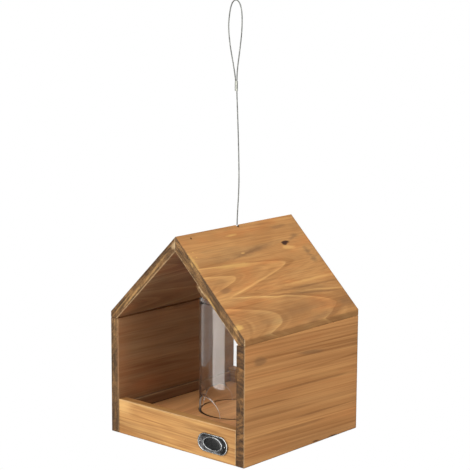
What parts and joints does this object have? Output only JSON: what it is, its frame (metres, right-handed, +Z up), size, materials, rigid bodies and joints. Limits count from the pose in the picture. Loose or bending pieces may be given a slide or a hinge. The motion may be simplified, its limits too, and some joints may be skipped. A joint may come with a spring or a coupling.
{
  "type": "silo bird feeder",
  "caption": "Open-ended wooden house on a railed tray with a clear seed tube that lifts out of its groove, hung by a looped steel cable.",
  "frame": {"origin": "bottom centre of the house, on the surface it stands on", "axes": "+Z up, front of the house (badge side) towards -Y, ridge along Y, right wall at +X"},
  "size_m": [0.17, 0.1687, 0.414],
  "materials": {
    "stained_pine": "brown stain, sanded",
    "dowel_wood": "raw",
    "clear_glass": "clear",
    "bright_plate": "bright, aged",
    "dark_enamel": "gloss enamel",
    "steel": "galvanised",
    "crimp_metal": "crimped, dull"
  },
  "bodies": {
    "house": {"left_wall": "stained_pine", "right_wall": "stained_pine", "left_roof_panel": "stained_pine", "right_roof_panel": "stained_pine", "floor_board": "stained_pine", "left_batten": "stained_pine", "right_batten": "stained_pine", "front_rail": "stained_pine", "rear_rail": "stained_pine", "left_roof_dowels": "dowel_wood", "right_roof_dowels": "dowel_wood", "left_floor_dowels": "dowel_wood", "right_floor_dowels": "dowel_wood", "left_rail_dowels": "dowel_wood", "right_rail_dowels": "dowel_wood", "badge_plate": "bright_plate", "badge_inlay": "dark_enamel", "badge_pins": "steel", "ridge_brads": "steel", "cable_root": "steel", "hanger_washer": "steel", "hanger_stop": "crimp_metal"},
    "silo": {"silo_tube": "clear_glass"},
    "hanger": {"hanger_cable": "steel", "hanger_loop": "steel", "hanger_ferrule": "crimp_metal"}
  },
  "joints": [
    {"name": "silo_lift", "type": "slide", "parent": "house", "child": "silo", "axis": [0, 0, 1], "range_m": [0, 0.02]},
    {"name": "hanger_swing", "type": "hinge", "parent": "house", "child": "hanger", "pos_m": [0, 0.002, 0.20185], "axis": [1, 0, 0], "range_deg": [-60, 60], "stiffness_Nm_per_rad": 0.02}
  ]
}
